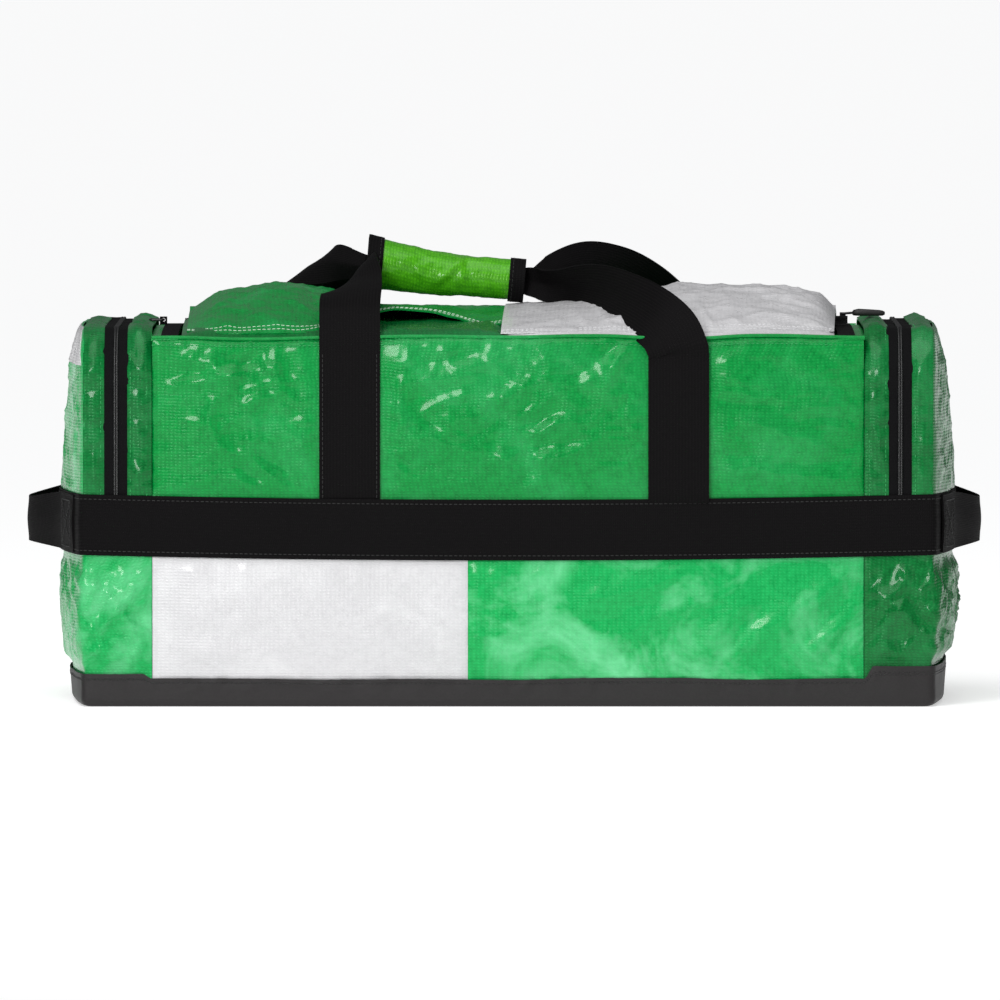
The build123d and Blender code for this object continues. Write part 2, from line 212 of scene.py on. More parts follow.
tarpUpper = makeTarpaulin("pvcTarpaulinGreen", "#016a2b", "#069a41", "#45bd76", hazeAndSheenAmount=0.2)
# paler green of the lower walls; on the left end pocket and end panel it is painted light, on the side the
# key lamp faces
tarpLower = makeTarpaulin("pvcTarpaulinGreenWorn", "#0a8840", "#1eb55e", "#7ddaa2", hazeAndSheenAmount=0.75)
# a darker copy of the upper green, painted shade: the gussets, the right end pocket and end panel and the
# front lid half under the storm flap take it
tarpShadedGreen = makeTarpaulin("pvcTarpaulinGreenDeep", "#024c1e", "#067a35", "#3fae69", hazeAndSheenAmount=0.2)
tarpWhite = makeTarpaulin("pvcTarpaulinWhite", "#c0bfc1", "#d0cfd1", "#e2e2e3", hazeAndSheenAmount=0.4, glint="#ffffff")
tarpLime = makeTarpaulin("pvcTarpaulinLime", "#2c7d0c", "#5cbf17", "#93dd54", hazeAndSheenAmount=0.2, glint="#c9f2a0")
# heavy polyurethane-coated base cloth: matt black with a leathery grain
baseCloth = makeGrained("coatedBaseCloth", "#141213", "#231f20", 1.6, 0.10,
                        **{"Roughness": 0.55, "Specular IOR Level": 0.35})
# polypropylene webbing: black, ribbed across, faint lustre
webbing = makeWoven("polypropyleneWebbing", "#030203", "#0c0a0b", 1.5, 2.6, 0.22, 0.72, 0.0)
zipTape = makeWoven("knittedZipTape", "#060607", "#111113", 0.9, 1.2, 0.10, 0.8, 0.0)
# nylon coil teeth: smooth monofilament that catches a bright line
coilNylon = makeGrained("nylonCoil", "#0d0d0e", "#1a1a1b", 0.8, 0.02, **{"Roughness": 0.28})
sliderPaint = makeGrained("blackPaintedDiecast", "#121213", "#202022", 0.7, 0.02,
                          **{"Roughness": 0.3, "Metallic": 0.4})
pullRubber = makeGrained("mouldedPullRubber", "#0d0d0d", "#191919", 1.2, 0.06, **{"Roughness": 0.55})
ringNylon = makeGrained("glassFilledNylon", "#101011", "#1c1c1d", 0.9, 0.03, **{"Roughness": 0.4})
linerCloth = makeGrained("proofedLinerCloth", "#35383a", "#45494b", 1.1, 0.06, **{"Roughness": 0.7})
boardPlastic = makeGrained("polyethyleneBoard", "#2a2a2c", "#37373a", 2.4, 0.08, **{"Roughness": 0.5})
threadBlack = makeGrained("bondedThreadBlack", "#0c0c0c", "#1d1d1d", 0.3, 0.02, **{"Roughness": 0.6})
threadGreen = makeGrained("bondedThreadGreen", "#0f7d3a", "#2aa85b", 0.3, 0.02, **{"Roughness": 0.5})
threadWhite = makeGrained("bondedThreadWhite", "#c4c4c6", "#dededf", 0.3, 0.02, **{"Roughness": 0.5})
threadPale = makeGrained("bondedThreadPale", "#a9c9ad", "#d8ead9", 0.3, 0.02, **{"Roughness": 0.5})
print("materials made")


# smooth noise from 0 to 1 over a plane, with features of about the given size
def smoothNoise(x, y, size, seed):
    table = np.random.default_rng(seed).random((97, 97))
    turn = 0.6 + seed * 1.3
    u = (x * math.cos(turn) - y * math.sin(turn)) / size + 977
    v = (x * math.sin(turn) + y * math.cos(turn)) / size + 977
    i, j = np.floor(u).astype(int), np.floor(v).astype(int)
    a, b = (t * t * t * (t * (t * 6 - 15) + 10) for t in (u - i, v - j))
    i, j, k, l = i % 97, j % 97, (i + 1) % 97, (j + 1) % 97
    return (table[i, j] * (1 - a) + table[k, j] * a) * (1 - b) + (table[i, l] * (1 - a)
            + table[k, l] * a) * b


# sharp crests between soft hollows, as stiff film takes when it is crushed
def creased(x, y, size, seed, sharp=1.7):
    return (1 - np.abs(2 * smoothNoise(x, y, size, seed) - 1)) ** sharp


def crumple(x, y, size, seed):
    bend = 1.1 * size
    u = x + bend * (smoothNoise(x, y, size * 1.8, seed + 11) - 0.5)
    v = y + bend * (smoothNoise(x, y, size * 1.8, seed + 12) - 0.5)
    return (0.55 * creased(u, v, size, seed) + 0.30 * creased(u, v, size * 0.55, seed + 1)
            + 0.15 * creased(u, v, size * 0.3, seed + 2)) - 0.4


# short gathers that run out of a line of stitching
def gathers(run, distance, seed, reach=10.0, depth=0.7, pitch=9.0):
    return depth * 2 * (smoothNoise(run, run * 0 + 3.3, pitch, seed) - 0.5) * np.exp(-distance / reach)


# creases listed one by one: each is (x1, y1, x2, y2, half width, height)
def laidCreases(x, y, creases):
    total = np.zeros_like(x)
    for x1, y1, x2, y2, width, height in creases:
        run = np.array([x2 - x1, y2 - y1], float)
        length = np.linalg.norm(run)
        along = ((x - x1) * run[0] + (y - y1) * run[1]) / length ** 2
        off = ((y - y1) * run[0] - (x - x1) * run[1]) / length
        fade = np.clip(np.sin(np.pi * np.clip(along * 0.94 + 0.03, 0, 1)), 0, 1) ** 0.6
        total += height * fade * (np.exp(-(off / width) ** 2) - 0.55
                                  * np.exp(-((off - 1.9 * width) / width) ** 2))
    return total


def smoothStep(value, low, high):
    t = np.clip((value - low) / (high - low), 0, 1)
    return t * t * (3 - 2 * t)


# a mesh from points in mm, faces of four, and a flat layout in mm that becomes the "cloth" map
def quadMesh(name, points, faces, layout, material, sharp=48):
    mesh = bpy.data.meshes.new(name)
    mesh.vertices.add(len(points))
    mesh.vertices.foreach_set("co", (np.asarray(points, float) * mm).ravel())
    mesh.loops.add(faces.size)
    mesh.loops.foreach_set("vertex_index", faces.ravel().astype(np.int32))
    mesh.polygons.add(len(faces))
    mesh.polygons.foreach_set("loop_start", np.arange(0, faces.size, 4, dtype=np.int32))
    mesh.polygons.foreach_set("use_smooth", np.ones(len(faces), bool))
    mesh.update(calc_edges=True)
    layer = mesh.uv_layers.new(name="cloth")
    layer.data.foreach_set("uv", (np.asarray(layout, float) * mm).ravel())
    mesh.validate()
    mesh.set_sharp_from_angle(angle=math.radians(sharp))
    piece = bpy.data.objects.new(name, mesh)
    bpy.context.scene.collection.objects.link(piece)
    mesh.materials.append(material)
    return piece


# a closed sheet of cloth: the given skin faces out, with a second skin one thickness in
def clothPiece(name, points, thick, material, wrap=False, layout=None):
    points = np.asarray(points, float)
    rows, cols = points.shape[:2]
    ringed = np.concatenate([points[:, -1:], points, points[:, :1]], axis=1) if wrap else points
    normal = np.cross(np.gradient(ringed, axis=1), np.gradient(ringed, axis=0))
    normal /= np.maximum(np.linalg.norm(normal, axis=2, keepdims=True), 1e-9)
    inner = points - (normal[:, 1:-1] if wrap else normal) * thick
    lined = np.concatenate([points, points[:, :1]], axis=1) if wrap else points
    u = np.concatenate([np.zeros((rows, 1)), np.cumsum(np.linalg.norm(np.diff(lined, axis=1), axis=2),
            axis=1)], axis=1)
    v = np.concatenate([np.zeros((1, lined.shape[1])),
                        np.cumsum(np.linalg.norm(np.diff(lined, axis=0), axis=2), axis=0)], axis=0)
    flat = np.stack([u, v], axis=2) if layout is None else layout
    skin = rows * cols
    faces, charts = [], []

    def patch(corners):
        faces.append(np.stack([i * cols + (j % cols) + skin * s for i, j, s in corners], axis=1))
        charts.append(np.stack([flat[i, j] + thick * s for i, j, s in corners], axis=1))

    i, j = (a.ravel() for a in np.meshgrid(np.arange(rows - 1), np.arange(lined.shape[1] - 1),
                                           indexing="ij"))
    patch([(i, j, 0), (i, j + 1, 0), (i + 1, j + 1, 0), (i + 1, j, 0)])
    patch([(i + 1, j, 1), (i + 1, j + 1, 1), (i, j + 1, 1), (i, j, 1)])
    j = np.arange(lined.shape[1] - 1)
    low, high = j * 0, j * 0 + rows - 1
    patch([(low, j + 1, 0), (low, j, 0), (low, j, 1), (low, j + 1, 1)])
    patch([(high, j, 0), (high, j + 1, 0), (high, j + 1, 1), (high, j, 1)])
    if not wrap:
        i = np.arange(rows - 1)
        first, last = i * 0, i * 0 + cols - 1
        patch([(i, first, 0), (i + 1, first, 0), (i + 1, first, 1), (i, first, 1)])
        patch([(i + 1, last, 0), (i, last, 0), (i, last, 1), (i + 1, last, 1)])
    return quadMesh(name, np.concatenate([points.reshape(-1, 3), inner.reshape(-1, 3)]),
                    np.concatenate(faces), np.concatenate(charts), material)


# points every so many mm along a polyline
def resample(path, step, count=None):
    path = np.asarray(path, float)
    gone = np.concatenate([[0], np.cumsum(np.linalg.norm(np.diff(path, axis=0), axis=1))])
    count = count or max(int(round(gone[-1] / step)), 2)
    at = np.linspace(0, gone[-1], count + 1)
    return np.stack([np.interp(at, gone, path[:, k]) for k in range(path.shape[1])], axis=1)


# rounds the corners of an open path without moving its ends
def soften(path, times):
    path = np.array(path, float)
    for _ in range(times):
        path[1:-1] = 0.25 * path[:-2] + 0.5 * path[1:-1] + 0.25 * path[2:]
    return path


# smooth curve through rows of numbers, spaced by the distance between the first three columns
def throughStations(rows, step):
    rows = np.asarray(rows, float)
    gaps = np.linalg.norm(np.diff(rows[:, :3], axis=0), axis=1)
    padded = np.concatenate([[2 * rows[0] - rows[1]], rows, [2 * rows[-1] - rows[-2]]])
    out = []
    for k, gap in enumerate(gaps):
        a, b, c, d = padded[k:k + 4]
        t = np.linspace(0, 1, max(int(gap / step), 2), endpoint=False)[:, None]
        out.append(0.5 * (2 * b + (c - a) * t + (2 * a - 5 * b + 4 * c - d) * t ** 2
                          + (3 * b - a - 3 * c + d) * t ** 3))
    return np.concatenate(out + [rows[-1:]])


# a mesh object from points in mm and faces of any size
def faceMesh(name, points, faces, material, sharp=None):
    mesh = bpy.data.meshes.new(name)
    mesh.from_pydata((np.asarray(points) * mm).tolist(), [], faces)
    mesh.polygons.foreach_set("use_smooth", np.ones(len(faces), bool))
    if sharp:
        mesh.set_sharp_from_angle(angle=math.radians(sharp))
    mesh.materials.append(material)
    piece = bpy.data.objects.new(name, mesh)
    bpy.context.scene.collection.objects.link(piece)
    return piece


# faces between rings of equal count, and a cap on each end
def ringFaces(rings, count):
    faces = [(k * count + j, k * count + (j + 1) % count, (k + 1) * count + (j + 1) % count,
              (k + 1) * count + j)
             for k in range(rings - 1) for j in range(count)]
    return faces + [tuple(range(count))[::-1], tuple(range((rings - 1) * count, rings * count))]


# a round tube along a path in mm; radius may change along it
def tubeMesh(name, path, radius, material, sides=10):
    path = np.asarray(path, float)
    radius = np.broadcast_to(radius, len(path))
    along = np.gradient(path, axis=0)
    along /= np.linalg.norm(along, axis=1, keepdims=True)
    side = np.cross(along[0], [0.31, 0.52, 0.79])
    ring = []
    for k in range(len(path)):
        side = side - along[k] * np.dot(side, along[k])
        side /= np.linalg.norm(side)
        other = np.cross(along[k], side)
        turn = np.linspace(0, math.tau, sides, endpoint=False)[:, None]
        ring.append(path[k] + radius[k] * (np.cos(turn) * side + np.sin(turn) * other))
    return faceMesh(name, np.concatenate(ring), ringFaces(len(path), sides), material, 60)


# a soft-edged block through sections of (x, y, z, half width, half height)
def blockMesh(name, sections, material):
    turn = np.linspace(0, math.tau, 20, endpoint=False)
    c, s = np.cos(turn), np.sin(turn)
    square = np.stack([np.sign(c) * np.abs(c) ** 0.55, np.sign(s) * np.abs(s) ** 0.55], axis=1)
    points = np.array([[(x, y + a * w, z + b * h) for a, b in square] for x, y, z, w, h in sections])
    return faceMesh(name, points.reshape(-1, 3), ringFaces(len(sections), len(turn)), material, 50)


# zip chain: the coil's turns stand up as ribs
def coilMesh(name, path, material, pitch=2.0, radius=1.7):
    path = resample(path, pitch / 4)
    turn = np.arange(len(path)) * math.tau / 4
    return tubeMesh(name, path, radius * (0.86 + 0.14 * np.cos(turn)), material, 8)


stitchLook = {"length": 3.4, "gap": 0.9, "radius": 0.34}
threads = {}


# lockstitches along a path, each a short capsule bedded in the cloth; joined per body later
def stitch(body, material, path, normal, lift=0.12):
    path = resample(path, 0.5)
    normal = np.asarray(normal, float)
    if normal.ndim == 1:
        normal = np.tile(normal, (len(path), 1))
    else:
        at, given = np.linspace(0, 1, len(path)), np.linspace(0, 1, len(normal))
        normal = np.stack([np.interp(at, given, normal[:, k]) for k in range(3)], axis=1)
    normal /= np.linalg.norm(normal, axis=1, keepdims=True)
    pitch = int((stitchLook["length"] + stitchLook["gap"]) * 2)
    reach = int(stitchLook["length"] * 2)
    starts = np.arange(0, len(path) - reach - 1, pitch)
    store = threads.setdefault((body, material.name), [])
    turn = np.linspace(0, math.tau, 6, endpoint=False)
    for start in starts:
        a, b = path[start], path[start + reach]
        up = normal[start + reach // 2]
        along = (b - a) / max(np.linalg.norm(b - a), 1e-9)
        side = np.cross(along, up)
        for t, grow, dip in ((0.0, 0.45, -0.3), (0.14, 1, 0), (0.86, 1, 0), (1.0, 0.45, -0.3)):
            middle = a + (b - a) * t + up * (lift + dip)
            store.append(middle + grow * stitchLook["radius"] * (
                np.cos(turn)[:, None] * side + np.sin(turn)[:, None] * up))


def sewThreads():
    faces = ringFaces(4, 6)
    for (body, look), rings in threads.items():
        stitches = [tuple(c + 24 * n for c in f) for n in range(len(rings) // 4) for f in faces]
        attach(faceMesh(f"thread_{body}_{look[-5:].lower()}", np.concatenate(rings), stitches,
                         bpy.data.materials[look]), body)


def dress(piece, body, slot, *nodes):
    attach(piece, body)
    if nodes:
        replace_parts(piece, *nodes)
    return piece


# the body's walls
wallLook = {
    "step": 2.6,              # mm between points
    "puff": 5.0,              # how far the filled wall stands out between seams
    "roll": 1.6,              # how far an edge rolls in to its seam
}
legs = (-130.0, 140.0)
legHalf = 25.0


# long slow waves shared by the wall, the belt and the handle legs
def waves(x, z, seed):
    return 3.0 * (smoothNoise(x, z, 150, seed) - 0.5)


def seamWave(x, seed=31):
    return 3.4 * (smoothNoise(x, x * 0, 70, seed) - 0.5) * smoothStep(bodyHalf - np.abs(x), 0, 40)


def upperPuff(x, z):
    t = np.clip((z - beltHigh) / (seamTop - beltHigh), 0, 1)
    return wallLook["puff"] * np.sin(np.pi * t) ** 0.8 * smoothStep(bodyHalf - np.abs(x), 0, 45)


def edgeRoll(distance):
    return -wallLook["roll"] * np.exp(-(distance / 2.6) ** 2)


def dips(x):
    return 4.5 * (np.abs(x) / 350) ** 2 - 1.2


# one rectangular panel of the front (side -1) or rear (side 1) wall
def wallPanel(name, side, x0, x1, z0, z1, material, seed, depth, creases=(), spots=()):
    cols = max(int((x1 - x0) / wallLook["step"]), 8)
    rows = max(int((z1 - z0) / wallLook["step"]), 8)
    x, z = np.meshgrid(np.linspace(x0, x1, cols + 1), np.linspace(z0, z1, rows + 1))
    edge = np.minimum(np.minimum(x - x0, x1 - x), np.minimum(z - z0, z1 - z))
    free = smoothStep(edge, 0, 16)
    power = np.full_like(x, 0.55)
    for sx, sz, reach, gain in spots:
        power += gain * np.exp(-((x - sx) ** 2 + (z - sz) ** 2) / reach ** 2)
    out = waves(x, z, 5 + side)
    upper = z0 > skirtTop + 20
    if upper:
        puff = upperPuff(x, z)
    else:
        t = np.clip((z - skirtTop) / (beltLow - skirtTop), 0, 1)
        puff = 0.7 * wallLook["puff"] * np.sin(np.pi * t) ** 0.8 * smoothStep(bodyHalf - np.abs(x), 0, 45)
    soft = puff + free * power * depth * crumple(x, z, 34, seed) + free * 0.5 * depth * crumple(x * 0.55,
            z, 13, seed + 5)
    soft += laidCreases(x, z, creases) * free
    soft += gathers(x, z1 - z, seed + 7) + gathers(x, z - z0, seed + 8) + gathers(z,
            np.minimum(x - x0, x1 - x), seed + 9)
    if upper:
        for leg in legs:
            press = 1 - smoothStep(np.abs(x - leg), legHalf + 1, legHalf + 16)
            soft = soft * (1 - press) + press * np.minimum(soft, puff - 0.6)
    held = smoothStep(np.abs(z - (beltLow + beltHigh) / 2), (beltHigh - beltLow) / 2 - 2,
                      (beltHigh - beltLow) / 2 + 10)
    soft = soft * held - 0.5 * (1 - held)
    out = out + soft + edgeRoll(edge) * held
    lift = seamWave(x) * smoothStep(z, seamTop - 60, seamTop) if upper else 0
    points = np.stack([x, side * (wallDepth + out), z + lift], axis=2)
    if side > 0:
        points = points[:, ::-1]
    return dress(clothPiece(name, points, 1.3, material), "bag",
                 "white_tarp" if material is tarpWhite else "green_tarp")


frontUpper = wallPanel(
    "frontUpperPanel", -1, -bodyHalf + 0.5, bodyHalf - 0.5, beltLow + 24, seamTop + 1.5, tarpUpper, 3, 3.6,
    creases=[(-280, 262, -180, 283, 5, 2.4), (-272, 290, -190, 262, 6, 2.0), (-215, 205, -178, 176, 6, 2.2),
             (-230, 190, -205, 178, 5, 1.8), (15, 222, 55, 236, 5, 2.2), (20, 200, 70, 212, 6, 1.8),
             (60, 262, 100, 292, 6, 2.2), (78, 258, 96, 296, 5, 1.8), (190, 240, 262, 212, 8, 1.6),
             (170, 196, 286, 186, 7, 1.6), (-95, 262, -20, 276, 7, 1.6)],
    spots=[(-70, 222, 45, 1.0), (20, 214, 40, 1.2), (-215, 225, 60, 0.6), (-225, 275, 45, 0.8),
           (-20, 285, 60, 0.4)])
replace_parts(frontUpper, "front_upper_panel")
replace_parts(wallPanel(
    "rearUpperPanel", 1, -bodyHalf + 0.5, bodyHalf - 0.5, beltLow + 24, seamTop + 1.5, tarpUpper, 43, 2.6,
    creases=[(-260, 250, -180, 280, 6, 2.2), (200, 190, 270, 230, 7, 2.0), (-60, 210, 40, 235, 7, 1.8)],
    spots=[(60, 230, 60, 0.8), (-200, 220, 60, 0.6)]), "rear_upper_panel")
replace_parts(wallPanel(
    "frontLowerWhite", -1, -bodyHalf + 0.5, whiteEnd, skirtTop - 4, beltLow + 24, tarpWhite, 17, 1.5,
    creases=[(-270, 48, -190, 40, 7, 1.6), (-120, 60, -60, 44, 8, 1.2)]), "front_lower_white")
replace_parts(wallPanel(
    "frontLowerGreen", -1, whiteEnd, bodyHalf - 0.5, skirtTop - 4, beltLow + 24, tarpLower, 23, 1.7,
    creases=[(285, 116, 215, 52, 8, 2.6), (262, 104, 178, 38, 9, 2.2), (200, 96, 150, 34, 9, 1.8),
             (150, 112, 60, 86, 9, 1.8), (290, 84, 240, 36, 7, 2.2), (120, 70, 40, 34, 9, 1.2)],
    spots=[(235, 75, 45, 0.7)]), "front_lower_green")
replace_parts(wallPanel(
    "rearLowerPanel", 1, -bodyHalf + 0.5, bodyHalf - 0.5, skirtTop - 4, beltLow + 24, tarpLower, 61, 1.7,
    creases=[(-240, 110, -180, 50, 8, 2.2), (120, 60, 210, 100, 8, 1.8)]), "rear_lower_panel")
print("walls made")


# unit normals to the right of a path's directions
def outward(along):
    return np.stack([along[:, 1], -along[:, 0]], axis=1) / np.linalg.norm(along, axis=1)[:, None]


# half the outline of the bag seen from above, round the right end from front to rear
def endPlan(chord, depth, bow, start):
    y = np.linspace(-depth, depth, 180)
    arc = np.stack([chord + bow * (1 - (y / depth) ** 2), y], axis=1)
    path = np.concatenate([[[start, -depth]], arc, [[start, depth]]])
    return soften(resample(path, 2.0, int(chord - start + depth)), 6)


def bowAt(z):
    high = endReach - endSeam - 2
    return np.interp(z, [0, 26, beltLow, beltHigh, 205, 280, pocketTop],
                     [11, 12.5, high - 1, high, 19, 12.5, 4.5])


# the whole outline, anticlockwise seen from above
def fullPlan(chord, depth, bow):
    right = endPlan(chord, depth, bow, 0.0)
    left = right[::-1] * [-1, 1]
    return np.concatenate([right[:-1], left[:-1]])


# lower walls of the end pockets: front return, end and rear return in one soft shell
hemLift = {"left": 4.0, "right": 11.0}        # mm, the base skirt rides up at the ends
for hand, side in hands.items():
    levels = np.linspace(skirtTop - 4, beltHigh - 1, 58)
    hemTop = skirtTop + hemLift[hand]
    rings = []
    for z in levels:
        plan = endPlan(endSeam + 1.5, wallDepth, bowAt(z) + 1, bodyHalf)
        run = np.arange(len(plan)) * 2.0
        away = np.gradient(plan, axis=0)
        away = outward(away)
        edge = min(z - levels[0], levels[-1] - z)
        seam = np.minimum(run, run[-1] - run)
        corner = np.exp(-((seam - (endSeam - bodyHalf)) / 2.2) ** 2)
        free = smoothStep(seam, 0, 12) * smoothStep(edge, 0, 14)
        held = float(smoothStep(z, beltLow - 12, beltLow + 2))
        tucked = 1 - float(smoothStep(z, hemTop - 1, hemTop + 11))
        t = np.clip((z - skirtTop) / (beltLow - skirtTop), 0, 1)
        depth = 6.6 if hand == "right" else 4.2
        level = run * 0 + z
        out = 4.0 * math.sin(math.pi * t) * smoothStep(seam, 0, 30) + waves(run, level, 70 + side)
        out += free * depth * (crumple(run, level, 30, 80 + side)
                               + 0.5 * crumple(run, level, 13, 84 + side)) * (1 - 0.2 * corner)
        out += laidCreases(run, level, [(10, 100, 46, 60, 5, 3.0), (8, 60, 40, 90, 5, 2.4),
                                        (20, 112, 48, 40, 6, 2.0)]) * free
        out = (out + edgeRoll(seam) + corner) * (1 - held) * (1 - tucked) - 0.6 * held - 2.0 * tucked
        spot = plan + away * out[:, None]
        rings.append(np.stack([spot[:, 0], spot[:, 1], level], axis=1))
    points = np.array(rings)
    if side < 0:
        points = (points * [-1, 1, 1])[:, ::-1]
    # the right pocket takes the darker copy of the green as painted shade, the left the paler green as
    # painted light
    dress(clothPiece(f"{hand}PocketLower", points, 1.3, tarpShadedGreen if hand == "right" else tarpLower),
          "bag", "green_tarp", f"{hand}_gusset_lower", f"{hand}_end_lower")

# coated base cloth, turned up all round as a skirt
rings = []
for scale, z in [(s, 0.15) for s in np.linspace(0.004, 0.96, 30)] + [(0.985, 0.3), (0.993, 1.2),
        (0.998, 3.0)] \
        + [(1.0, z) for z in np.linspace(5, skirtTop, 10)]:
    plan = fullPlan(endSeam + 2.2, wallDepth + 0.8, float(bowAt(z)) + 0.5)
    run = np.arange(len(plan)) * 2.0
    spot = plan * scale
    if z > 2:
        away = np.roll(plan, -1, axis=0) - np.roll(plan, 1, axis=0)
        away = outward(away)
        top = smoothStep(np.array(z), 3, skirtTop)
        out = 1.6 * crumple(run, run * 0 + z, 26,
                            91) * top + 1.2 * (smoothNoise(run, run * 0, 60, 92) - 0.5)
        spot = spot + away * out[:, None]
    ends = (smoothStep(plan[:, 0], bodyHalf, bodyHalf + 8) * hemLift["right"]
            + smoothStep(-plan[:, 0], bodyHalf, bodyHalf + 8) * hemLift["left"])
    lift = (2.4 * (smoothNoise(run, run * 0, 55, 93) - 0.5) - 3.0 + ends) * (z / skirtTop) ** 2
    rings.append(np.stack([spot[:, 0], spot[:, 1], z + lift], axis=1))
basePoints = np.array(rings)
dress(clothPiece("baseCloth", basePoints, 1.3, baseCloth, wrap=True), "bag", "base_cloth",
      "base_panel", "skirt_front", "skirt_rear", "left_skirt", "right_skirt")
for row in (-2, -3):
    ring = np.concatenate([basePoints[row], basePoints[row][:1]])
    ring = ring - [0, 0, 1.5] if row == -2 else ring
    facing = [np.sign(ring[:, 0]) * (np.abs(ring[:, 0]) > endSeam), np.sign(ring[:, 1]) * 0.8,
              ring[:, 0] * 0]
    stitch("bag", threadBlack, ring, np.stack(facing, axis=1) + 1e-6)

# the belt is one band of webbing round the bag, over the seams
rings = []
for t in np.linspace(0, 1, 14):
    z = beltLow + (beltHigh - beltLow) * t
    plan = fullPlan(endSeam + 3.2, wallDepth + 1.6, endReach - endSeam - 1.4)
    run = np.arange(len(plan)) * 2.0
    away = np.roll(plan, -1, axis=0) - np.roll(plan, 1, axis=0)
    away = outward(away)
    swell = np.where(np.abs(plan[:, 0]) < bodyHalf, 1.0, 0.4)
    level = run * 0 + z
    out = (waves(plan[:, 0], level, 4) * (plan[:, 1] < 0)
           + waves(plan[:, 0], level, 6) * (plan[:, 1] > 0)) * swell
    out = np.maximum(out, -0.8) + 0.5 - 0.25 * np.cos(t * math.tau)
    spot = plan + away * out[:, None]
    rings.append(np.stack([spot[:, 0], spot[:, 1], z + dips(spot[:, 0])], axis=1))
beltPoints = np.array(rings)
dress(clothPiece("belt", beltPoints, 1.8, webbing, wrap=True), "bag", "webbing",
      "belt_front", "belt_rear", "belt_left", "belt_right")
beltAway = np.stack([away[:, 0], away[:, 1], away[:, 0] * 0], axis=1)
for row in (1, -2):
    stitch("bag", threadBlack, np.concatenate([beltPoints[row], beltPoints[row][:1]]),
           np.concatenate([beltAway, beltAway[:1]]))
print("lower shells, base and belt made")


cornerRadius = 40.0


# the pocket's outline from the front foot, over the top, to the rear foot: y, z and outward normal
def archPath(foot, inset=0.0):
    reach, top, radius = wallDepth - inset, pocketTop - inset, cornerRadius - inset
    turn = np.linspace(math.pi, math.pi / 2, 24)
    front = np.stack([-(reach - radius) + radius * np.cos(turn), top - radius + radius * np.sin(turn)],
                     axis=1)
    path = np.concatenate([[[-reach, foot]], front, front[::-1] * [-1, 1], [[reach, foot]]])
    path = resample(path, 2.5)
    away = np.gradient(path, axis=0)
    away = -outward(away)
    return path, away


def archSheet(name, side, near, far, foot, puff, depth, seed, thick, material, base=0.0, cols=None):
    path, away = archPath(foot)
    run = np.arange(len(path)) * 2.5
    x = np.linspace(near, far, cols or max(int((far - near) / 2.2), 5))
    grid, across = np.meshgrid(run, x, indexing="ij")
    edge = np.minimum(across - near, far - across)
    t = (across - near) / (far - near)
    free = smoothStep(edge, 0, 7)
    out = base + puff * np.sin(np.pi * t) + free * depth * (crumple(grid, across, 26, seed)
            + 0.4 * crumple(grid, across, 12, seed + 3))
    out += gathers(grid, edge, seed + 6, 6, 0.9, 8)
    foothold = smoothStep(np.minimum(grid, run[-1] - grid), 0, 12)
    out = out * foothold + base * (1 - foothold)
    spot = path[:, None, :] + away[:, None, :] * out[:, :, None]
    sink = (3.5 + 2.0 * (smoothNoise(grid, across * 0, 60, seed + 9) - 0.6)) * smoothStep(spot[:, :, 1],
            pocketTop - 20, pocketTop)
    points = np.stack([side * across, spot[:, :, 0], spot[:, :, 1] + sink], axis=2)
    if side < 0:
        points = points[:, ::-1]
    return clothPiece(name, points, thick, material)


